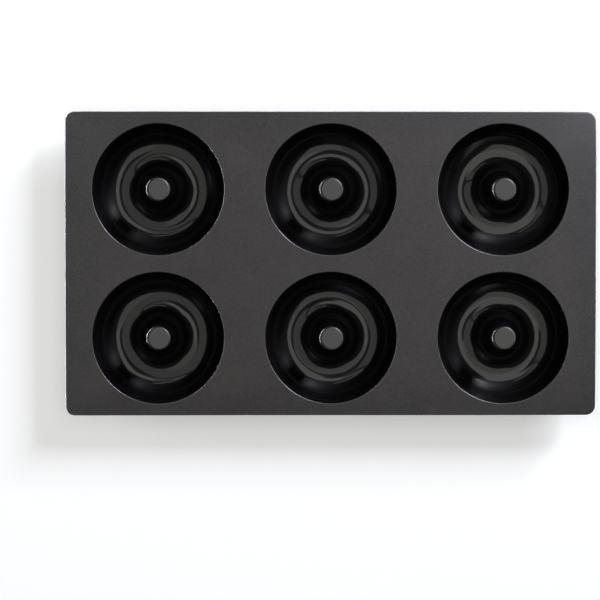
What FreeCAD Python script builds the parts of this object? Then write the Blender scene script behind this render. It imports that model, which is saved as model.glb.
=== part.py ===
import FreeCAD
import Part

import math
import os

# A baking mould for six ring-shaped cakes, moulded in one go from flexible silicone.
# A flat deck carries six ring cups, and a hollow post stands in the middle of each cup.
# The moulding is divided into regions where its section or its finish changes, and
# neighbouring regions meet on flat horizontal faces.
#
# Frame: millimetres, +Z up, X along the length. The origin is on the surface that the
# cups stand on, under the centre of the deck.

# Deck
DECK_THICKNESS = 2.4
DECK_CORNER_RADIUS = 5.2
DECK_EDGE_ROUND = 1.0
DECK_LOWER_ROUND = 0.4

# Ring cavities, measured on the surface that touches the batter
COLUMNS = ("left", "middle", "right")
ROWS = ("front", "back")
MOUTH_RADIUS = 37.15
MOUTH_ROUND = 0.5
CAVITY_DEPTH = 24.0
WALL_DRAFT_DEG = 6.0

# Centre posts
POST_TOP_RADIUS = 6.65
POST_RISE = 2.5
POST_DRAFT_DEG = 6.0
CAP_THICKNESS = 2.2
CAP_ROUND = 1.75

# Silicone sections below the deck
WALL_THICKNESS = 2.0
FOOT_FLAT = 0.4
UNDERSIDE_ROUND = 1.5

# Clear air between the outsides of the cups, and how far the deck reaches beyond them,
# measured from their walls just under the deck, with the rounds there left out
COLUMN_GAP = 19.58
ROW_GAP = 5.92
DECK_BEYOND_ENDS = 13.69
DECK_BEYOND_SIDES = 4.97

# Heights
FLOOR_THICKNESS = WALL_THICKNESS - FOOT_FLAT
DECK_TOP = FLOOR_THICKNESS + CAVITY_DEPTH
DECK_UNDERSIDE = DECK_TOP - DECK_THICKNESS
POST_TOP = DECK_TOP + POST_RISE
CAP_UNDERSIDE = POST_TOP - CAP_THICKNESS

# Slopes of the two walls of a cavity
WALL_DRAFT = math.radians(WALL_DRAFT_DEG)
POST_DRAFT = math.radians(POST_DRAFT_DEG)

# The floor of a cavity is one full round, tangent to the outer wall and to the post
GUTTER_RADIUS = (
    MOUTH_RADIUS
    - POST_TOP_RADIUS
    - CAVITY_DEPTH * math.tan(WALL_DRAFT)
    - (CAVITY_DEPTH + POST_RISE) * math.tan(POST_DRAFT)
) / (
    (1 - math.sin(WALL_DRAFT)) / math.cos(WALL_DRAFT)
    + (1 - math.sin(POST_DRAFT)) / math.cos(POST_DRAFT)
)
GUTTER_Z = FLOOR_THICKNESS + GUTTER_RADIUS
GUTTER_R = MOUTH_RADIUS - (
    GUTTER_RADIUS + (DECK_TOP - GUTTER_Z) * math.sin(WALL_DRAFT)
) / math.cos(WALL_DRAFT)
CUP_RADIUS = GUTTER_RADIUS + WALL_THICKNESS

# Horizontal thickness of the two sloping walls
WALL_ACROSS = WALL_THICKNESS / math.cos(WALL_DRAFT)
POST_WALL_ACROSS = WALL_THICKNESS / math.cos(POST_DRAFT)

# A post starts where the round of the floor ends
POST_FOOT = GUTTER_Z - GUTTER_RADIUS * math.sin(POST_DRAFT)


def wall_radius(z):
    """Radius of the cavity's outer wall at height z."""
    return MOUTH_RADIUS - (DECK_TOP - z) * math.tan(WALL_DRAFT)


def post_radius(z):
    """Radius of a post at height z."""
    return POST_TOP_RADIUS + (POST_TOP - z) * math.tan(POST_DRAFT)


# Spacing of the cups and outline of the deck
CUP_OVERHANG = wall_radius(DECK_UNDERSIDE) + WALL_ACROSS - MOUTH_RADIUS
CUP_ACROSS = 2 * (MOUTH_RADIUS + CUP_OVERHANG)
COLUMN_PITCH = CUP_ACROSS + COLUMN_GAP
ROW_PITCH = CUP_ACROSS + ROW_GAP
DECK_LENGTH = (len(COLUMNS) - 1) * COLUMN_PITCH + CUP_ACROSS + 2 * DECK_BEYOND_ENDS
DECK_WIDTH = (len(ROWS) - 1) * ROW_PITCH + CUP_ACROSS + 2 * DECK_BEYOND_SIDES


def point(r, z):
    """A point of a section, drawn in the XZ plane."""
    return FreeCAD.Vector(r, 0, z)


def line(start, end):
    return Part.LineSegment(start, end).toShape()


def arc(centre, radius, start_deg, end_deg):
    """An arc in the XZ plane; angles run from +X towards +Z."""
    places = []
    for angle in (start_deg, (start_deg + end_deg) / 2, end_deg):
        turn = math.radians(angle)
        places.append(centre + point(radius * math.cos(turn), radius * math.sin(turn)))
    return Part.Arc(*places).toShape()


def chain(*pieces):
    """A closed wire: points are joined by lines, edges are kept as they are."""
    edges = []
    for piece, following in zip(pieces, pieces[1:] + pieces[:1]):
        if isinstance(piece, Part.Shape):
            edges.append(piece)
        start = piece.lastVertex().Point if isinstance(piece, Part.Shape) else piece
        end = following.firstVertex().Point if isinstance(following, Part.Shape) else following
        if start.distanceToPoint(end) > 1e-6:
            edges.append(line(start, end))
    return Part.Wire(Part.sortEdges(edges)[0])


def turned(wire):
    """The solid that a section makes round the Z axis."""
    axis = FreeCAD.Vector(0, 0, 1)
    return Part.Face(wire).revolve(FreeCAD.Vector(0, 0, 0), axis, 360)


def rounded_slab(length, width, corner_radius, bottom, top):
    """A flat slab with round corners, centred on the Z axis."""
    corner = FreeCAD.Vector(-length / 2, -width / 2, bottom)
    slab = Part.makeBox(length, width, top - bottom, corner)
    uprights = []
    for edge in slab.Edges:
        if abs(edge.firstVertex().Z - edge.lastVertex().Z) > (top - bottom) / 2:
            uprights.append(edge)
    return slab.makeFillet(corner_radius, uprights)


def edges_at(shape, z):
    """The edges of a shape that lie wholly at height z."""
    found = []
    for edge in shape.Edges:
        box = edge.BoundBox
        if abs(box.ZMin - z) < 1e-6 and abs(box.ZMax - z) < 1e-6:
            found.append(edge)
    return found


def cup_places():
    """Name and centre of each cup."""
    places = {}
    for row_number, row in enumerate(ROWS):
        for column_number, column in enumerate(COLUMNS):
            x = (column_number - (len(COLUMNS) - 1) / 2) * COLUMN_PITCH
            y = (row_number - (len(ROWS) - 1) / 2) * ROW_PITCH
            places[row + "_" + column] = FreeCAD.Vector(x, y, 0)
    return places


def mouth_cutter():
    """The space of one mouth through the deck, with the round of its upper edge."""
    beyond = DECK_THICKNESS
    reach = MOUTH_ROUND * math.tan((math.pi / 2 - WALL_DRAFT) / 2)
    round_centre = point(MOUTH_RADIUS + reach, DECK_TOP - MOUTH_ROUND)
    below = DECK_UNDERSIDE - beyond
    return turned(
        chain(
            point(0, below),
            point(wall_radius(below), below),
            arc(round_centre, MOUTH_ROUND, 180 - WALL_DRAFT_DEG, 90),
            point(MOUTH_RADIUS + reach, DECK_TOP + beyond),
            point(0, DECK_TOP + beyond),
        )
    )


def deck():
    """The flat top plate, with round edges and a mouth over each cup."""
    plate = rounded_slab(DECK_LENGTH, DECK_WIDTH, DECK_CORNER_RADIUS, DECK_UNDERSIDE, DECK_TOP)
    plate = plate.makeFillet(DECK_EDGE_ROUND, edges_at(plate, DECK_TOP))
    plate = plate.makeFillet(DECK_LOWER_ROUND, edges_at(plate, DECK_UNDERSIDE))
    cutter = mouth_cutter()
    for centre in cup_places().values():
        plate = plate.cut(cutter.translated(centre))
    return plate


def ring_cup():
    """One ring cup: outer wall and round floor, with a flat foot to stand on.

    Outside, the wall runs into the underside of the deck with a round.
    """
    centre = point(GUTTER_R, GUTTER_Z)
    foot_turn = math.degrees(math.asin(GUTTER_Z / CUP_RADIUS))
    wall_top = wall_radius(DECK_UNDERSIDE)
    round_z = DECK_UNDERSIDE - UNDERSIDE_ROUND
    round_r = wall_radius(round_z) + WALL_ACROSS + UNDERSIDE_ROUND / math.cos(WALL_DRAFT)
    return turned(
        chain(
            point(wall_top, DECK_UNDERSIDE),
            arc(centre, GUTTER_RADIUS, -WALL_DRAFT_DEG, POST_DRAFT_DEG - 180),
            point(post_radius(POST_FOOT) - POST_WALL_ACROSS, POST_FOOT),
            arc(centre, CUP_RADIUS, POST_DRAFT_DEG - 180, foot_turn - 180),
            arc(centre, CUP_RADIUS, -foot_turn, -WALL_DRAFT_DEG),
            arc(point(round_r, round_z), UNDERSIDE_ROUND, 180 - WALL_DRAFT_DEG, 90),
        )
    )


def centre_post():
    """One hollow tapered post, open below."""
    foot, head = post_radius(POST_FOOT), post_radius(CAP_UNDERSIDE)
    return turned(
        chain(
            point(foot - POST_WALL_ACROSS, POST_FOOT),
            point(foot, POST_FOOT),
            point(head, CAP_UNDERSIDE),
            point(head - POST_WALL_ACROSS, CAP_UNDERSIDE),
        )
    )


def post_cap():
    """The closed end of a post, with a round edge."""
    reach = CAP_ROUND * math.tan((math.pi / 2 - POST_DRAFT) / 2)
    round_centre = point(POST_TOP_RADIUS - reach, POST_TOP - CAP_ROUND)
    return turned(
        chain(
            point(0, CAP_UNDERSIDE),
            point(post_radius(CAP_UNDERSIDE), CAP_UNDERSIDE),
            arc(round_centre, CAP_ROUND, POST_DRAFT_DEG, 90),
            point(0, POST_TOP),
        )
    )


def main():
    os.makedirs("parts", exist_ok=True)
    nodes = {"deck": deck()}
    for place, centre in cup_places().items():
        nodes["ring_cup_" + place] = ring_cup().translated(centre)
        nodes["centre_post_" + place] = centre_post().translated(centre)
        nodes["post_cap_" + place] = post_cap().translated(centre)
    for name, shape in nodes.items():
        shape.exportStep("parts/" + name + ".step")
        print(name, len(shape.Solids), shape.isValid(), round(shape.Volume, 1))
    print("deck", round(DECK_LENGTH, 2), "x", round(DECK_WIDTH, 2), "height", round(POST_TOP, 2))
    print("pitch", round(COLUMN_PITCH, 2), round(ROW_PITCH, 2), "overhang", round(CUP_OVERHANG, 3))
    print("floor round", round(GUTTER_RADIUS, 2), "at radius", round(GUTTER_R, 2))


main()
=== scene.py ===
# %% [markdown]
# # A silicone mould for ring cakes
#
# The real object is one moulding of dark, flexible silicone: a flat deck with ring-shaped cavities, each
# with a hollow post in its middle. The deck is matte charcoal, and the cavities are glossy and almost
# black.
#
# The solids of the frame have the right sizes already. Their meshes are loose triangles, though, and a
# glossy trough mirrors every facet. So each region of the moulding is modelled again as a smooth skin in
# the same place, and that skin stands for its solid.

import math

import bmesh
import bpy
from mathutils import Matrix, Vector, noise


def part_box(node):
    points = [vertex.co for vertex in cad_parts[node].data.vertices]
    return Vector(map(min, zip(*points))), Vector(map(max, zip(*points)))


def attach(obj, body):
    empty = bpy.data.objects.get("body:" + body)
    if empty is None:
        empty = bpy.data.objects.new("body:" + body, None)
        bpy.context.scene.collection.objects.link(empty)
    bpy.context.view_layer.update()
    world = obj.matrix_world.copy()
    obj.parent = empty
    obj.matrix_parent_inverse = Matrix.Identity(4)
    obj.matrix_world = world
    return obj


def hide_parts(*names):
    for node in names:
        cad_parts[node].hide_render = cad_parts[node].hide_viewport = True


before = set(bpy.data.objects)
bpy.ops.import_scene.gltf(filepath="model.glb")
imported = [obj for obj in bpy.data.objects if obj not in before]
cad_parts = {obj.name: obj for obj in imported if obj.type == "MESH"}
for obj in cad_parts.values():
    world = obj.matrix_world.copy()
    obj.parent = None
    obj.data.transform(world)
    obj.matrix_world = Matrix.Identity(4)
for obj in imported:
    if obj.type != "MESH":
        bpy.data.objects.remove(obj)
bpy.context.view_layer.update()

# %% [markdown]
# ## Places and heights
#
# Everything that the frame can tell is read from it: where the cups stand, how high the deck is, where a
# post begins and ends. Copying those numbers by hand would work too, but then they could drift apart.

# %% Read the frame
MM = 0.001
ROWS = ("front", "back")
COLUMNS = ("left", "middle", "right")


def middle_of(node):
    low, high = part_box(node)
    return (low + high) / 2


CUP_CENTRES = {}
for row in ROWS:
    for column in COLUMNS:
        CUP_CENTRES[row + "_" + column] = middle_of("ring_cup_" + row + "_" + column)

COLUMN_PITCH = CUP_CENTRES["front_right"].x - CUP_CENTRES["front_middle"].x
ROW_PITCH = CUP_CENTRES["back_middle"].y - CUP_CENTRES["front_middle"].y
HALF_LENGTH, HALF_WIDTH, DECK_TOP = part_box("deck")[1]
DECK_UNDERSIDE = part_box("deck")[0].z
POST_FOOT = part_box("centre_post_front_middle")[0].z
CAP_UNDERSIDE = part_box("post_cap_front_middle")[0].z
POST_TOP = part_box("post_cap_front_middle")[1].z
print("cups", round(COLUMN_PITCH / MM, 2), "by", round(ROW_PITCH / MM, 2), "mm apart")

# %% [markdown]
# ## The section of a cavity
#
# A box can't tell radii and slopes, so these few are written here, in millimetres. The floor of a cavity is
# one full round. It touches the outer wall and the post without a corner, and that fixes its radius. The
# rounds of the caps and of the deck's edge are finer than on the solids, because the gleams on them are
# thin lines.

# %% Radii, slopes and thicknesses
MOUTH_RADIUS = 37.15 * MM
MOUTH_ROUND = 0.5 * MM
POST_TOP_RADIUS = 6.65 * MM
CAP_ROUND = 1.2 * MM
DRAFT = math.radians(6)
WALL = 2.0 * MM
FOOT_FLAT = 0.4 * MM
UNDERSIDE_ROUND = 1.5 * MM
DECK_CORNER = 5.2 * MM
DECK_EDGE_ROUND = 0.6 * MM
DECK_LOWER_ROUND = 0.4 * MM

WALL_ACROSS = WALL / math.cos(DRAFT)
CAVITY_FLOOR = WALL - FOOT_FLAT


def wall_radius(z):
    return MOUTH_RADIUS - (DECK_TOP - z) * math.tan(DRAFT)


def post_radius(z):
    return POST_TOP_RADIUS + (POST_TOP - z) * math.tan(DRAFT)


TROUGH_ROUND = (POST_FOOT - CAVITY_FLOOR) / (1 - math.sin(DRAFT))
TROUGH_R = post_radius(POST_FOOT) + TROUGH_ROUND * math.cos(DRAFT)
TROUGH_Z = CAVITY_FLOOR + TROUGH_ROUND
print("trough round", round(TROUGH_ROUND / MM, 2), "mm, centred", round(TROUGH_R / MM, 2), "mm off the axis")

# %% [markdown]
# ## A pen for sections
#
# A turned shape is drawn as one half section and then spun. The spin operator draws the section too: one
# vertex that is spun about a centre leaves an arc behind it, and one that is extruded leaves a line. A
# curve object with a screw modifier could do the same, but a bmesh keeps every step in sight.

# %% The pen
class Pen:
    """A chain of edges in the XZ plane, drawn from its tip; X is the distance from the axis."""

    def __init__(self, r, z):
        self.mesh = bmesh.new()
        self.start = self.mesh.verts.new((r, 0, z))
        self.tip = self.start

    def line(self, r, z, steps=1):
        run = (Vector((r, 0, z)) - self.tip.co) / steps
        for step in range(steps):
            self.tip = bmesh.ops.extrude_vert_indiv(self.mesh, verts=[self.tip])["verts"][0]
            bmesh.ops.translate(self.mesh, verts=[self.tip], vec=run)
        return self

    def arc(self, r, z, turn, steps):
        """Swing the tip about a centre; a positive turn goes from +X towards +Z."""
        made = bmesh.ops.spin(
            self.mesh, geom=[self.tip], cent=(r, 0, z), axis=(0, -1, 0), dvec=(0, 0, 0),
            angle=turn, steps=steps, use_merge=False, use_duplicate=False,
        )
        self.tip = made["geom_last"][0]
        return self

    def close(self):
        self.mesh.edges.new((self.tip, self.start))
        return self


# %% [markdown]
# ## Spinning a section, and walking it round the deck
#
# The cups, posts and caps are spun about an upright axis. The border of the deck follows a rectangle with
# round corners, so its section walks: it is extruded along a side, spun through a quarter turn at the
# corner, and so on until it meets itself. Doubles are merged before the normals are set, because both kinds
# come back to where they began.

# %% Spin and walk
STEPS_ROUND = 160
SIDE_STEPS = 24
CORNER_STEPS = 10
MERGE = 1e-6
FULL_TURN = 2 * math.pi
QUARTER_TURN = math.pi / 2
UP = (0, 0, 1)


def only(kind, elements):
    return [element for element in elements if isinstance(element, kind)]


def close_up(mesh):
    bmesh.ops.remove_doubles(mesh, verts=mesh.verts[:], dist=MERGE)
    bmesh.ops.recalc_face_normals(mesh, faces=mesh.faces[:])
    return mesh


def turned(pen):
    mesh = pen.mesh
    bmesh.ops.spin(
        mesh, geom=mesh.verts[:] + mesh.edges[:], cent=(0, 0, 0), axis=UP, dvec=(0, 0, 0),
        angle=FULL_TURN, steps=STEPS_ROUND, use_merge=True, use_duplicate=False,
    )
    return close_up(mesh)


def walked(pen):
    """Carry a section round the deck; its X is measured from the centre of a corner."""
    mesh = pen.mesh
    length, width = HALF_LENGTH - DECK_CORNER, HALF_WIDTH - DECK_CORNER
    corner = Vector((-length, -width, 0))
    bmesh.ops.rotate(mesh, verts=mesh.verts[:], cent=(0, 0, 0), matrix=Matrix.Rotation(-QUARTER_TURN, 3, "Z"))
    bmesh.ops.translate(mesh, verts=mesh.verts[:], vec=corner)
    edges = mesh.edges[:]
    for run in ((2 * length, 0, 0), (0, 2 * width, 0), (-2 * length, 0, 0), (0, -2 * width, 0)):
        for step in range(SIDE_STEPS):
            made = bmesh.ops.extrude_edge_only(mesh, edges=edges)["geom"]
            edges = only(bmesh.types.BMEdge, made)
            bmesh.ops.translate(mesh, verts=only(bmesh.types.BMVert, made), vec=Vector(run) / SIDE_STEPS)
        corner = corner + Vector(run)
        ends = {vert for edge in edges for vert in edge.verts}
        made = bmesh.ops.spin(
            mesh, geom=list(ends) + edges, cent=corner, axis=UP, dvec=(0, 0, 0),
            angle=QUARTER_TURN, steps=CORNER_STEPS, use_merge=False, use_duplicate=False,
        )
        edges = only(bmesh.types.BMEdge, made["geom_last"])
    return close_up(mesh)


# %% [markdown]
# ## Soft silicone
#
# Silicone comes out of its tool a little uneven. A perfect lathe shape gives itself away, because the
# mirror image in a trough would be a perfect circle. It also bends under its own weight: the free edges of
# the deck droop, and the corners droop more, one of them most. The vertices are therefore moved a little.
# One smooth field moves all the pieces, so that neighbours stay joined, and it fades out at the feet. The
# noise gets a fixed seed: without one, it would be another shape in every run.

# %% Unevenness
SWELL_WAVE, SWELL = 55 * MM, 0.14 * MM
RIPPLE_WAVE, RIPPLE = 16 * MM, 0.055 * MM
EDGE_DROOP = 0.8 * MM
CORNER_DROOP = 0.8 * MM
CORNER_LEAN = 0.9
END_CURVE, SIDE_CURVE, CORNER_CURVE = 8, 4, 6
STEADY_BELOW = 6 * MM
UNEVEN_SEED = 7

noise.seed_set(UNEVEN_SEED)


def soften(mesh):
    for vert in mesh.verts:
        place = vert.co.copy()
        steady = min(1, place.z / STEADY_BELOW)
        vert.co += steady * SWELL * noise.noise_vector(place / SWELL_WAVE)
        vert.co += steady * RIPPLE * noise.noise_vector(place / RIPPLE_WAVE)
        along, across = place.x / HALF_LENGTH, place.y / HALF_WIDTH
        corner = CORNER_DROOP * (1 + CORNER_LEAN * (along + across) / 2)
        droop = EDGE_DROOP * (along ** END_CURVE + across ** SIDE_CURVE)
        droop += corner * (along * across) ** CORNER_CURVE
        vert.co.z -= steady * droop


# %% [markdown]
# ## From a mesh to a piece
#
# Each piece is shaded smooth, with its real corners marked sharp. It rides on the one rigid body of the
# frame and stands for one node.

# %% Pieces
SHARP_CORNER = math.radians(32)
PIECES = {}


def make_piece(node, mesh):
    soften(mesh)
    for face in mesh.faces:
        face.smooth = True
    for edge in mesh.edges:
        edge.smooth = edge.calc_face_angle(0) < SHARP_CORNER
    data = bpy.data.meshes.new("moulded_" + node)
    mesh.to_mesh(data)
    mesh.free()
    piece = bpy.data.objects.new("moulded_" + node, data)
    bpy.context.scene.collection.objects.link(piece)
    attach(piece, "root")
    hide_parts(node)
    PIECES[node] = piece


# %% [markdown]
# ## The deck
#
# The deck is a flat plate with a round upper edge and six mouths. A boolean cut would leave ragged faces
# round each mouth, so the parts that bend are made first: the border by walking its section, and a collar
# for each mouth by spinning. Then the two flat sides are filled between their edges. Each section starts
# with a narrow flat strip, which keeps the round from tilting the shading of the flat beside it.

# %% Build the deck
STRIP = 0.4 * MM
ROUND_STEPS = 8
LOWER_STEPS = 4
MOUTH_REACH = MOUTH_ROUND * math.tan((QUARTER_TURN - DRAFT) / 2)
FLAT_WITHIN = 0.01 * MM


def deck_border():
    inner = DECK_CORNER - DECK_EDGE_ROUND
    pen = Pen(inner - STRIP, DECK_TOP).line(inner, DECK_TOP)
    pen.arc(inner, DECK_TOP - DECK_EDGE_ROUND, -QUARTER_TURN, ROUND_STEPS)
    lower = DECK_CORNER - DECK_LOWER_ROUND
    pen.line(DECK_CORNER, DECK_UNDERSIDE + DECK_LOWER_ROUND)
    pen.arc(lower, DECK_UNDERSIDE + DECK_LOWER_ROUND, -QUARTER_TURN, LOWER_STEPS)
    pen.line(lower - STRIP, DECK_UNDERSIDE)
    return walked(pen)


def mouth_collar():
    flat_from = MOUTH_RADIUS + MOUTH_REACH
    pen = Pen(flat_from + STRIP, DECK_TOP).line(flat_from, DECK_TOP)
    pen.arc(flat_from, DECK_TOP - MOUTH_ROUND, QUARTER_TURN - DRAFT, ROUND_STEPS)
    pen.line(wall_radius(DECK_UNDERSIDE), DECK_UNDERSIDE)
    return turned(pen)


def join(mesh, other, offset):
    """Add another bmesh to this one, moved by an offset, and drop it."""
    bmesh.ops.translate(other, verts=other.verts[:], vec=offset)
    carrier = bpy.data.meshes.new("carrier")
    other.to_mesh(carrier)
    other.free()
    mesh.from_mesh(carrier)
    bpy.data.meshes.remove(carrier)


def fill_flat(mesh, height):
    rims = []
    for edge in mesh.edges:
        level = all(abs(vert.co.z - height) < FLAT_WITHIN for vert in edge.verts)
        if edge.is_boundary and level:
            rims.append(edge)
    bmesh.ops.triangle_fill(mesh, edges=rims, use_beauty=True, use_dissolve=False, normal=UP)
    return len(rims)


deck = deck_border()
for centre in CUP_CENTRES.values():
    join(deck, mouth_collar(), (centre.x, centre.y, 0))
rim_edges = fill_flat(deck, DECK_TOP) + fill_flat(deck, DECK_UNDERSIDE)
make_piece("deck", close_up(deck))
print("deck filled between", rim_edges, "edges")

# %% [markdown]
# ## The ring cups
#
# A cup is a thin shell round the trough. Inside, its wall runs down, swings through the full round of the
# floor and up to the foot of the post. Outside, the same round is cut flat where the cup stands, and a
# small round joins the wall to the deck. The faces of the outside get a second material slot, because only
# the inside is polished. The steep upper part of the inside gets a third, because it is duller than the
# floor.

# %% Build the cups
TROUGH_STEPS = 72
SHELL_STEPS = 20
JOIN_STEPS = 6
WALL_STEPS = 6
SHELL_ROUND = TROUGH_ROUND + WALL
FOOT_TURN = math.asin(TROUGH_Z / SHELL_ROUND)
INSIDE, OUTSIDE, STEEP = 0, 1, 2
STEEP_SLOPE = math.radians(70)
STEEP_FROM = TROUGH_Z - TROUGH_ROUND * math.cos(STEEP_SLOPE)


def cup_section():
    top = wall_radius(DECK_UNDERSIDE)
    sweep = FOOT_TURN - DRAFT
    round_z = DECK_UNDERSIDE - UNDERSIDE_ROUND
    round_r = wall_radius(round_z) + WALL_ACROSS + UNDERSIDE_ROUND / math.cos(DRAFT)
    slope_out = Vector((math.cos(DRAFT), -math.sin(DRAFT)))
    slope_in = Vector((-math.cos(DRAFT), -math.sin(DRAFT)))
    trough = Vector((TROUGH_R, TROUGH_Z))

    pen = Pen(top, DECK_UNDERSIDE)
    pen.line(*(trough + TROUGH_ROUND * slope_out), steps=WALL_STEPS)
    pen.arc(TROUGH_R, TROUGH_Z, 2 * DRAFT - math.pi, TROUGH_STEPS)
    pen.line(post_radius(POST_FOOT) - WALL_ACROSS, POST_FOOT)
    pen.line(*(trough + SHELL_ROUND * slope_in))
    pen.arc(TROUGH_R, TROUGH_Z, sweep, SHELL_STEPS)
    pen.line(TROUGH_R + SHELL_ROUND * math.cos(FOOT_TURN), 0)
    pen.arc(TROUGH_R, TROUGH_Z, sweep, SHELL_STEPS)
    pen.line(*(Vector((round_r, round_z)) - UNDERSIDE_ROUND * slope_out), steps=WALL_STEPS)
    pen.arc(round_r, round_z, DRAFT - QUARTER_TURN, JOIN_STEPS)
    return pen.close()


def mark_faces(mesh):
    """Faces that look away from the open mouth over the trough belong to the outside."""
    for face in mesh.faces:
        here = face.calc_center_median()
        over = TROUGH_R * Vector((here.x, here.y, 0)).normalized() + Vector((0, 0, DECK_TOP))
        face.material_index = INSIDE if face.normal.dot(over - here) > 0 else OUTSIDE
        if face.material_index == INSIDE and here.z > STEEP_FROM:
            face.material_index = STEEP


for place, centre in CUP_CENTRES.items():
    cup = turned(cup_section())
    mark_faces(cup)
    bmesh.ops.translate(cup, verts=cup.verts[:], vec=(centre.x, centre.y, 0))
    make_piece("ring_cup_" + place, cup)
print("a cup has", len(PIECES["ring_cup_front_left"].data.polygons), "faces")

# %% [markdown]
# ## The posts and their caps
#
# A post is a thin tapered tube, open below. Its cap closes it a little above the deck, with a round edge
# that catches the light as a thin bright line.

# %% Build the posts and caps
CAP_STEPS = 10
CAP_FLAT_STEPS = 4
POST_STEPS = 8


def post_section():
    foot, head = post_radius(POST_FOOT), post_radius(CAP_UNDERSIDE)
    pen = Pen(foot - WALL_ACROSS, POST_FOOT).line(foot, POST_FOOT)
    pen.line(head, CAP_UNDERSIDE, steps=POST_STEPS).line(head - WALL_ACROSS, CAP_UNDERSIDE)
    return pen.close()


def cap_section():
    reach = CAP_ROUND * math.tan((QUARTER_TURN - DRAFT) / 2)
    flat = POST_TOP_RADIUS - reach
    pen = Pen(0, POST_TOP).line(flat - STRIP, POST_TOP, steps=CAP_FLAT_STEPS).line(flat, POST_TOP)
    pen.arc(flat, POST_TOP - CAP_ROUND, DRAFT - QUARTER_TURN, CAP_STEPS)
    return pen.line(post_radius(CAP_UNDERSIDE), CAP_UNDERSIDE).line(0, CAP_UNDERSIDE)


for place, centre in CUP_CENTRES.items():
    for node, section, slot in (
        ("centre_post_" + place, post_section(), "polished_silicone"),
        ("post_cap_" + place, cap_section(), "matte_silicone"),
    ):
        mesh = turned(section)
        bmesh.ops.translate(mesh, verts=mesh.verts[:], vec=(centre.x, centre.y, 0))
        make_piece(node, mesh)
print(len(PIECES), "pieces stand for", len(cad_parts), "nodes")

# %% [markdown]
# ## Shader maths as Python
#
# A finish is a tree of nodes. Wired one by one, even a short formula fills a page. Here a small class wraps
# a socket and overloads the operators, so that a sum on sockets adds its Math nodes by itself. Every other
# node comes from one method.

# %% Sockets that can be added up
class Wire:
    """An output socket that takes part in sums."""

    def __init__(self, tree, socket):
        self.tree = tree
        self.socket = socket

    def maths(self, operation, *values):
        sockets = dict(enumerate((self, *values)))
        return self.tree.add("ShaderNodeMath", {"operation": operation}, sockets)

    def __add__(self, other):
        return self.maths("ADD", other)

    def __mul__(self, other):
        return self.maths("MULTIPLY", other)

    def __sub__(self, other):
        return self.maths("SUBTRACT", other)

    def __rsub__(self, other):
        return self * -1 + other

    def __pow__(self, power):
        return self.maths("POWER", power)

    __radd__ = __add__
    __rmul__ = __mul__

    def step(self, low, high):
        """0 below low, 1 above high, and smooth between; low may be the larger."""
        settings = {"interpolation_type": "SMOOTHSTEP"}
        sockets = {"Value": self, "From Min": low, "From Max": high}
        return self.tree.add("ShaderNodeMapRange", settings, sockets)


class Tree:
    """The node tree of a material or a world."""

    def __init__(self, owner):
        owner.use_nodes = True
        self.owner = owner
        self.nodes = owner.node_tree.nodes
        self.links = owner.node_tree.links
        self.nodes.clear()

    def add(self, kind, settings, sockets, output=0):
        node = self.nodes.new(kind)
        for name, value in settings.items():
            setattr(node, name, value)
        for name, value in sockets.items():
            if isinstance(value, Wire):
                self.links.new(value.socket, node.inputs[name])
            else:
                node.inputs[name].default_value = value
        return Wire(self, node.outputs[output] if len(node.outputs) else None)

    def blend(self, share, first, second):
        """A colour between two colours."""
        settings = {"data_type": "RGBA", "clamp_factor": True}
        return self.add("ShaderNodeMix", settings, {0: share, 6: first, 7: second}, output=2)

    def noise(self, where, scale, detail=2.0, roughness=0.5):
        sockets = {"Vector": where, "Scale": scale, "Detail": detail, "Roughness": roughness}
        return self.add("ShaderNodeTexNoise", {}, sockets)

    def relief(self, height, depth):
        """A normal that follows a height; a height of 1 is as high as the depth."""
        return self.add("ShaderNodeBump", {}, {"Strength": 1.0, "Distance": depth, "Height": height})

    def place(self):
        """Object coordinates, whole, and their X and Y."""
        where = self.add("ShaderNodeTexCoord", {}, {}, output="Object")
        x, y = [self.add("ShaderNodeSeparateXYZ", {}, {0: where}, output=axis) for axis in "XY"]
        return where, x, y


# %% [markdown]
# ## Distances over the deck
#
# The finishes need to know how far a point is from the axis of its cavity. The cavities repeat at a fixed
# pitch, so the coordinates are wrapped into one cell, and one formula serves all six. Two more distances
# tell how near a point is to the border of the deck.

# %% One cell for all the cavities, and the border
def ring_radius(x, y):
    in_cell_x = x.maths("WRAP", COLUMN_PITCH / 2, -COLUMN_PITCH / 2)
    in_cell_y = y.maths("WRAP", ROW_PITCH, 0) - ROW_PITCH / 2
    return (in_cell_x * in_cell_x + in_cell_y * in_cell_y) ** 0.5


def border_depth(x, y):
    """Distance from the rectangle on which the corners of the deck are centred, and 0 inside it."""
    beyond_x = (x.maths("ABSOLUTE") - (HALF_LENGTH - DECK_CORNER)).maths("MAXIMUM", 0)
    beyond_y = (y.maths("ABSOLUTE") - (HALF_WIDTH - DECK_CORNER)).maths("MAXIMUM", 0)
    return (beyond_x * beyond_x + beyond_y * beyond_y) ** 0.5


def inset(x, y):
    """Distance inwards from the nearest edge of the deck."""
    from_end = HALF_LENGTH - x.maths("ABSOLUTE")
    from_side = HALF_WIDTH - y.maths("ABSOLUTE")
    return from_end.maths("MINIMUM", from_side)


# %% [markdown]
# ## Polished silicone
#
# The part of the tool that forms the cavities was polished on a lathe. The silicone copies it: nearly
# black, with faint rings from the lathe. Its gloss has two parts. One is sharp and mirrors the studio. The
# other is a haze, as on any rubber, which spreads a strong lamp into a wide soft patch. One roughness can't
# be both, so the shader's coat carries the haze. The steep walls and the posts are duller, because they
# drag along the tool when the mould is pulled off it.

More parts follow.
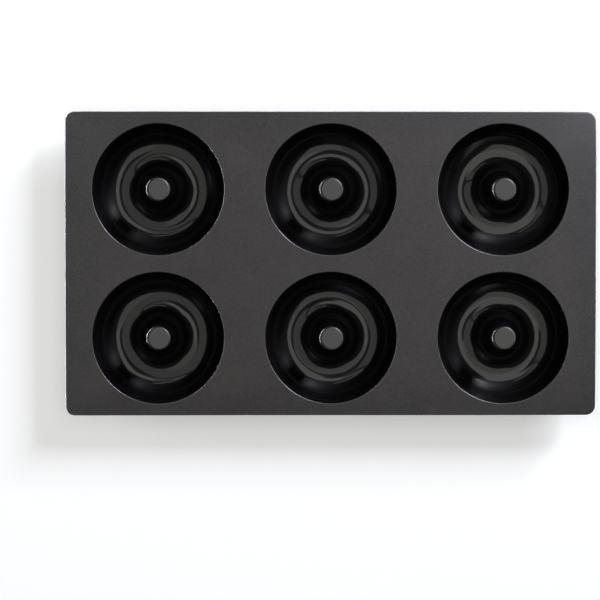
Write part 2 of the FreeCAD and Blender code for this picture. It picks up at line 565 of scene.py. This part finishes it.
# %% Polished finish
SILICONE_IOR = 1.41
PLAIN_SPECULAR = 0.5
POLISHED_DARK = (0.0009, 0.0005, 0.0007, 1)
POLISHED_PALE = (0.0021, 0.0013, 0.0017, 1)
POLISHED_ROUGHNESS = 0.07
POLISHED_SPECULAR = 0.6
FILM_PER_METRE = 70
FILM_FROM, FILM_TO = 0.35, 0.75
FILM_ROUGHNESS = 0.05
HAZE = 0.20
HAZE_ROUGHNESS = 0.40
LATHE_RINGS_PER_METRE = 1100
LATHE_MARK = 0.0022 * MM
DRAG_DULLNESS = 0.22
DRAG_SPECULAR = 0.15


def polished_parts(tree, where):
    """Colour and roughness of the polished cavities."""
    film = tree.noise(where, FILM_PER_METRE, detail=3)
    colour = tree.blend(film, POLISHED_DARK, POLISHED_PALE)
    roughness = film.step(FILM_FROM, FILM_TO) * FILM_ROUGHNESS + POLISHED_ROUGHNESS
    return colour, roughness


def finish_material(tree, colour, roughness, normal, haze=0.0, specular=PLAIN_SPECULAR):
    sockets = {
        "Base Color": colour, "Roughness": roughness, "Normal": normal, "IOR": SILICONE_IOR,
        "Specular IOR Level": specular,
        "Coat Weight": haze, "Coat Roughness": HAZE_ROUGHNESS, "Coat IOR": SILICONE_IOR,
    }
    shader = tree.add("ShaderNodeBsdfPrincipled", {}, sockets)
    tree.add("ShaderNodeOutputMaterial", {}, {"Surface": shader})
    return tree.owner


def polished_silicone(name, dullness=0.0, specular=POLISHED_SPECULAR):
    tree = Tree(bpy.data.materials.new(name))
    where, x, y = tree.place()
    colour, roughness = polished_parts(tree, where)
    turning = {"W": ring_radius(x, y), "Scale": LATHE_RINGS_PER_METRE, "Detail": 2.0}
    rings = tree.add("ShaderNodeTexNoise", {"noise_dimensions": "1D"}, turning)
    normal = tree.relief(rings, LATHE_MARK)
    return finish_material(tree, colour, roughness + dullness, normal, HAZE, specular)


# %% [markdown]
# ## Matte silicone
#
# The rest of the tool was blasted with fine grit, and the grain of the silicone is about as fine as flour.
# It scatters the light, so the same silicone looks charcoal and not black. The colour follows the grain,
# and slow clouds besides.

# %% Matte finish
MATTE_DARK = (0.0110, 0.0094, 0.0076, 1)
MATTE_PALE = (0.0302, 0.0259, 0.0218, 1)
MATTE_ROUGHNESS = 0.60
ROUGHNESS_SPREAD = 0.10
CLOUDS_PER_METRE = 50
GRAIN_PER_METRE = 850
GRAIN = 0.036 * MM
NOISE_FROM, NOISE_TO = 0.3, 0.7
CLOUD_SHARE, GRAIN_SHARE = 0.3, 0.7


def matte_parts(tree, where, dark=MATTE_DARK, pale=MATTE_PALE, painted_sheen_and_shade=0.0):
    """Colour, roughness and grain of the blasted surfaces."""
    cloud = tree.noise(where, CLOUDS_PER_METRE, detail=4, roughness=0.6)
    grain = tree.noise(where, GRAIN_PER_METRE, detail=2, roughness=0.7)
    share = cloud.step(NOISE_FROM, NOISE_TO) * CLOUD_SHARE + grain.step(NOISE_FROM, NOISE_TO) * GRAIN_SHARE
    # The last argument shifts the colour lighter or darker by place; on the deck it is painted sheen in the
    # middle and painted shade at the border.
    colour = tree.blend(share + painted_sheen_and_shade, dark, pale)
    roughness = cloud * ROUGHNESS_SPREAD + (MATTE_ROUGHNESS - ROUGHNESS_SPREAD / 2)
    return colour, roughness, grain


def matte_silicone():
    tree = Tree(bpy.data.materials.new("matte_silicone"))
    colour, roughness, grain = matte_parts(tree, tree.place()[0])
    return finish_material(tree, colour, roughness, tree.relief(grain, GRAIN))


# %% [markdown]
# ## The finish of the deck
#
# The flat of the deck is matte. Its colour is a shade lighter in the middle than at the border, which is
# painted sheen in the middle and painted shade along the border. The rounds of its edge and its mouths are
# smooth, and they catch the light as thin lines. Their colour darkens over the round as painted shade; down
# in the mouths the deck is polished and dark like the cavities below. One finish turns into the next over a
# stretch of a round. A stretch is given by two shares of the round, which run from 1 at the flat to 0 at the
# round's end. Silicone also draws dust, and a few specks lie on the deck.

# %% Deck finish
RIM_ROUGHNESS = 0.42
RIM_HAZE = 0.9
SMOOTH_STRETCH = (1.0, 0.8)
# The two dark stretches darken the rounds as painted shade; in the mouths this also leads into the dark
# polish of the cavities.
MOUTH_POLISH_AND_PAINTED_SHADE_STRETCH = (0.7, 0.3)
EDGE_PAINTED_SHADE_STRETCH = (0.8, 0.4)
POLISHED_STRETCH = (0.25, 0.0)
# Painted sheen and shade over the flat: lighter in the middle, darker within a few millimetres of the border.
DARKER_WITHIN, PALER_BEYOND = 4 * MM, 24 * MM
PAINTED_SHEEN_AND_SHADE_AMOUNT = 0.4
MIDDLE_SHARE = 0.5
DUST = (0.16, 0.16, 0.16, 1)
DUST_CELLS_PER_METRE = 75
DUST_SPECK = 0.016
DUST_CORE = 0.4 * DUST_SPECK
DUST_FROM, DUST_TO = 0.78, 0.98


def dust_specks(tree, where):
    settings = {"voronoi_dimensions": "2D", "feature": "F1"}
    sockets = {"Vector": where, "Scale": DUST_CELLS_PER_METRE}
    distance = tree.add("ShaderNodeTexVoronoi", settings, sockets, output="Distance")
    random = tree.add("ShaderNodeTexVoronoi", settings, sockets, output="Color")
    chance = tree.add("ShaderNodeSeparateColor", {}, {0: random})
    return distance.step(DUST_SPECK, DUST_CORE) * chance.step(DUST_FROM, DUST_TO)


def on_mouth(radius, stretch):
    """From 0 to 1 over a stretch of a mouth's round."""
    return radius.step(*[MOUTH_RADIUS + MOUTH_REACH * share for share in stretch])


def on_edge(depth, stretch):
    """From 0 to 1 over a stretch of the round of the deck's edge."""
    return depth.step(*[DECK_CORNER - DECK_EDGE_ROUND * share for share in stretch])


def deck_silicone():
    tree = Tree(bpy.data.materials.new("deck_silicone"))
    where, x, y = tree.place()
    # Painted light: the colour is a shade lighter in the middle (painted sheen) and darker at the border
    # (painted shade).
    painted_sheen_and_shade = (inset(x, y).step(DARKER_WITHIN, PALER_BEYOND) - MIDDLE_SHARE) * PAINTED_SHEEN_AND_SHADE_AMOUNT
    colour, roughness, grain = matte_parts(tree, where, painted_sheen_and_shade=painted_sheen_and_shade)
    colour = tree.blend(dust_specks(tree, where), colour, DUST)

    radius, depth = ring_radius(x, y), border_depth(x, y)
    smooth = on_mouth(radius, SMOOTH_STRETCH) + on_edge(depth, SMOOTH_STRETCH)
    # Painted shade: the colour darkens over the round of the deck's edge and over the mouths' rounds; inside
    # the mouths it is also the cavities' own dark polish.
    dark_polish_and_painted_shade = on_mouth(radius, MOUTH_POLISH_AND_PAINTED_SHADE_STRETCH) + on_edge(depth, EDGE_PAINTED_SHADE_STRETCH)
    polished = on_mouth(radius, POLISHED_STRETCH)
    dark, gloss = polished_parts(tree, where)
    colour = tree.blend(dark_polish_and_painted_shade, colour, dark)
    roughness = roughness * (1 - smooth) + gloss * polished + (smooth - polished) * RIM_ROUGHNESS
    haze = polished * HAZE + (smooth - polished) * RIM_HAZE
    normal = tree.relief((grain - MIDDLE_SHARE) * (1 - smooth), GRAIN)
    return finish_material(tree, colour, roughness, normal, haze)


# %% [markdown]
# ## Satin caps
#
# The tops of the posts are flat, and the tool is smoother there than over the deck. They look lighter than
# the deck although the silicone is the same, and their lighter colour is painted sheen. The lighter top is a
# disc a little off the middle of the cap, and outside it the edge is smooth and dark. As the disc sits off
# the middle, the dark edge is widest at the left, and that crescent is painted shade.

# %% Satin finish
# The caps' colours are lighter than the deck's silicone: painted sheen.
CAP_DARK_WITH_PAINTED_SHEEN = (0.0610, 0.0588, 0.0538, 1)
CAP_PALE_WITH_PAINTED_SHEEN = (0.0665, 0.0641, 0.0588, 1)
SATIN_SPECULAR = 0.35
SATIN_ROUGHNESS = 0.40
SATIN_HAZE = 0.08
SATIN_GRAIN = 0.010 * MM
DISC_RADIUS = 6.0 * MM
DISC_OFF_CENTRE = 0.9 * MM
DISC_EDGE = 0.15 * MM
CAP_EDGE_ROUGHNESS = 0.30


def satin_silicone():
    tree = Tree(bpy.data.materials.new("satin_silicone"))
    where, x, y = tree.place()
    # The disc is off the middle, so the smooth dark edge around it is widest at the left; that crescent is
    # painted shade.
    outside = ring_radius(x - DISC_OFF_CENTRE, y).step(DISC_RADIUS, DISC_RADIUS + DISC_EDGE)
    colour, roughness, grain = matte_parts(tree, where, CAP_DARK_WITH_PAINTED_SHEEN, CAP_PALE_WITH_PAINTED_SHEEN)
    colour = tree.blend(outside, colour, POLISHED_PALE)
    roughness = roughness + (SATIN_ROUGHNESS - MATTE_ROUGHNESS)
    roughness = roughness * (1 - outside) + outside * CAP_EDGE_ROUGHNESS
    return finish_material(
        tree, colour, roughness, tree.relief(grain, SATIN_GRAIN), SATIN_HAZE, SATIN_SPECULAR
    )


# %% Dress the pieces
polished, satin, matte = polished_silicone("polished_silicone"), satin_silicone(), matte_silicone()
dragged = polished_silicone("dragged_silicone", DRAG_DULLNESS, DRAG_SPECULAR)
FINISHES = {"deck": [deck_silicone()]}
for place in CUP_CENTRES:
    FINISHES["ring_cup_" + place] = [polished, matte, dragged]
    FINISHES["centre_post_" + place] = [dragged]
    FINISHES["post_cap_" + place] = [satin]
for node, materials in FINISHES.items():
    for material in materials:
        PIECES[node].data.materials.append(material)
print(len(bpy.data.materials), "materials")

# %% [markdown]
# ## The camera
#
# The mould is seen from above, through a long lens. The deck is about 532 pixels long in the picture and
# lies right of and above its middle. The camera stands over the mould, 28 mm left of its middle, and is
# turned a little, so that the mould takes its place in the picture. A shifted lens would do this too, but
# it would also push the mould aside in every other view.

# %% Camera
IMAGE_PIXELS = 600
DECK_PIXELS = 532.0
DECK_MIDDLE_PIXEL = Vector((331.05, 263.7))
CAMERA_HEIGHT = 0.95
CAMERA_LEFT = 0.028
SENSOR = 36.0

metres_per_pixel = 2 * HALF_LENGTH / DECK_PIXELS
off_middle = (DECK_MIDDLE_PIXEL - Vector((IMAGE_PIXELS, IMAGE_PIXELS)) / 2) * metres_per_pixel
camera_place = Vector((-CAMERA_LEFT, 0, DECK_TOP + CAMERA_HEIGHT))
aim = Vector((-off_middle.x, off_middle.y, DECK_TOP))

camera_data = bpy.data.cameras.new("camera")
camera_data.sensor_width = SENSOR
camera_data.lens = SENSOR * CAMERA_HEIGHT / (IMAGE_PIXELS * metres_per_pixel)
camera = bpy.data.objects.new("camera", camera_data)
camera.location = camera_place
back = camera_place - aim
right = Vector((0, 1, 0)).cross(back).normalized()
up = back.cross(right).normalized()
camera.rotation_euler = Matrix((right, up, back.normalized())).transposed().to_euler()
bpy.context.scene.collection.objects.link(camera)
bpy.context.scene.camera = camera
print("lens", round(camera_data.lens, 1), "mm")

# %% [markdown]
# ## Studio light
#
# Glossy black shows little but what it mirrors, so the lamps are placed by what the cavities show. The grey
# ring in each trough is a level ceiling of three panels: a wide dim one at the left, the brightest at the
# back right, and one in front of that. The key lamp stands low at the back right and throws the shadow. A
# fill at the left adds no gleam. The other lamps add only gleam: a narrow strip at the back, one lamp that
# doubles the key on the rims, two low strips at the left and the right that draw thin lines on rims and
# caps, and two low cards for the rims at the front and the back.

# %% Lamps
CEILING_HEIGHT = 1.05
KEY_AZIMUTH, KEY_TILT = 47, 58
WARM = (1.0, 0.985, 0.95)
COOL = (0.88, 0.92, 1.0)
BLUE = (0.88, 0.84, 1.0)


def lamp(name, azimuth, tilt, distance, size, radiance, colour):
    """A soft lamp aimed at the mould: azimuth from +X, tilt from straight up, both in degrees.

    Its size is its width and its height in metres.
    """
    turn, lean = math.radians(azimuth), math.radians(tilt)
    towards = Vector((math.sin(lean) * math.cos(turn), math.sin(lean) * math.sin(turn), math.cos(lean)))
    width, height = size
    data = bpy.data.lights.new(name, "AREA")
    data.shape = "RECTANGLE"
    data.size, data.size_y = width, height
    data.energy = radiance * width * height * math.pi
    data.color = colour
    box = bpy.data.objects.new(name, data)
    box.location = Vector((0, 0, DECK_TOP)) + towards * distance
    box.rotation_euler = towards.to_track_quat("Z", "Y").to_euler()
    box.visible_camera = False
    bpy.context.scene.collection.objects.link(box)
    return box


def gleam(name, azimuth, tilt, distance, size, radiance, colour):
    """A lamp that shows in mirror images and adds no other light."""
    lamp(name, azimuth, tilt, distance, size, radiance, colour).visible_diffuse = False


def ceiling(name, left, right, front, back, radiance):
    """A level panel above the camera, given by its four sides."""
    box = lamp(name, 0, 0, CEILING_HEIGHT, (right - left, back - front), radiance, WARM)
    box.location.x, box.location.y = (left + right) / 2, (front + back) / 2
    box.rotation_euler = (0, 0, 0)


ceiling("ceiling_left", left=-0.87, right=-0.10, front=-0.65, back=0.49, radiance=0.77)
ceiling("ceiling_right", left=-0.10, right=0.39, front=-0.16, back=0.49, radiance=1.60)
ceiling("ceiling_front", left=-0.10, right=0.39, front=-0.65, back=-0.16, radiance=1.05)
gleam("strip_back", azimuth=116, tilt=33.5, distance=1.3, size=(0.6, 0.09), radiance=1.3, colour=WARM)
lamp("key", KEY_AZIMUTH, KEY_TILT, distance=2.6, size=(0.46, 1.1), radiance=40.0, colour=COOL)
gleam("key_gleam", KEY_AZIMUTH, KEY_TILT, distance=1.25, size=(0.22, 0.53), radiance=66.0, colour=BLUE)
fill = lamp("fill_left", azimuth=168, tilt=62, distance=1.2, size=(0.5, 0.4), radiance=3.7, colour=WARM)
fill.visible_glossy = False
gleam("gleam_left", azimuth=170, tilt=88.4, distance=0.9, size=(1.23, 0.046), radiance=325.0, colour=COOL)
gleam("gleam_right", azimuth=10, tilt=80, distance=0.42, size=(0.30, 0.06), radiance=14.0, colour=COOL)
gleam("card_front", azimuth=270, tilt=70, distance=1.1, size=(1.4, 0.45), radiance=1.3, colour=WARM)
gleam("card_back", azimuth=90, tilt=70, distance=1.1, size=(1.4, 0.45), radiance=1.3, colour=WARM)

# %% [markdown]
# ## The camera's dark front, the floor and the backdrop
#
# The camera hangs from an arm under the ceiling panels, and both draw dark lines in the mirror image. Two
# flat dark plates stand for them. The camera itself doesn't see them, and their faint grey shows only in
# mirror images. The floor is white paper, which keeps the shadow of the mould. It glows a little to the
# camera and in mirror images.

# %% Stage
CAMERA_FRONT = (0.19, 0.33)
FRONT_MIDDLE = Vector((-0.005, 0.045, 0))
CAMERA_ARM = (0.95, 0.05)
ARM_START = Vector((0.05, 0.09, 0))
ARM_AZIMUTH = math.radians(152)
UNIT_HALF_SIDE = 0.5
FLOOR_HALF_SIDE = 3.0
WHITE = (1, 1, 1, 1)
PAPER = (0.8, 0.8, 0.8, 1)
PAPER_GLOW = 0.375
LENS_GREY = (1.0, 0.9, 1.05, 1)
LENS_GLOW = 0.12
WORLD_GREY = 0.06


def stage_piece(name, mesh, material):
    data = bpy.data.meshes.new(name)
    mesh.to_mesh(data)
    mesh.free()
    data.materials.append(material)
    thing = bpy.data.objects.new(name, data)
    bpy.context.scene.collection.objects.link(thing)
    return thing


def seen_directly(tree):
    """1 for what the camera, a mirror image or a view through glass sees."""
    seen = 0
    for kind in ("Camera", "Glossy", "Transmission"):
        seen = seen + tree.add("ShaderNodeLightPath", {}, {}, output="Is " + kind + " Ray")
    return seen.maths("MINIMUM", 1)


def paper():
    tree = Tree(bpy.data.materials.new("paper"))
    matte = tree.add("ShaderNodeBsdfDiffuse", {}, {"Color": PAPER})
    strength = seen_directly(tree) * PAPER_GLOW
    glow = tree.add("ShaderNodeEmission", {}, {"Color": WHITE, "Strength": strength})
    both = tree.add("ShaderNodeAddShader", {}, {0: matte, 1: glow})
    tree.add("ShaderNodeOutputMaterial", {}, {"Surface": both})
    return tree.owner


def lens_black():
    tree = Tree(bpy.data.materials.new("lens_black"))
    black = tree.add("ShaderNodeEmission", {}, {"Color": LENS_GREY, "Strength": LENS_GLOW})
    tree.add("ShaderNodeOutputMaterial", {}, {"Surface": black})
    return tree.owner


floor = bmesh.new()
bmesh.ops.create_grid(floor, x_segments=1, y_segments=1, size=FLOOR_HALF_SIDE)
stage_piece("floor", floor, paper())

plates = bmesh.new()
arm_turn = Matrix.Rotation(ARM_AZIMUTH, 4, "Z") @ Matrix.Translation((CAMERA_ARM[0] / 2, 0, 0))
for size, offset, turn in ((CAMERA_FRONT, FRONT_MIDDLE, Matrix()), (CAMERA_ARM, ARM_START, arm_turn)):
    shape = Matrix.Diagonal((*size, 1, 1))
    hang = Matrix.Translation(camera_place + offset)
    matrix = hang @ turn @ shape
    bmesh.ops.create_grid(plates, x_segments=1, y_segments=1, size=UNIT_HALF_SIDE, matrix=matrix)
front = stage_piece("camera_front", plates, lens_black())
front.visible_camera = False
front.visible_diffuse = False

world = bpy.data.worlds.new("studio")
bpy.context.scene.world = world
sky = Tree(world)
dim = sky.add("ShaderNodeBackground", {}, {"Color": WHITE, "Strength": WORLD_GREY})
white = sky.add("ShaderNodeBackground", {}, {"Color": WHITE, "Strength": 1.0})
is_camera = sky.add("ShaderNodeLightPath", {}, {}, output="Is Camera Ray")
background = sky.add("ShaderNodeMixShader", {}, {0: is_camera, 1: dim, 2: white})
sky.add("ShaderNodeOutputWorld", {}, {"Surface": background})
bpy.context.scene.view_settings.view_transform = "Standard"
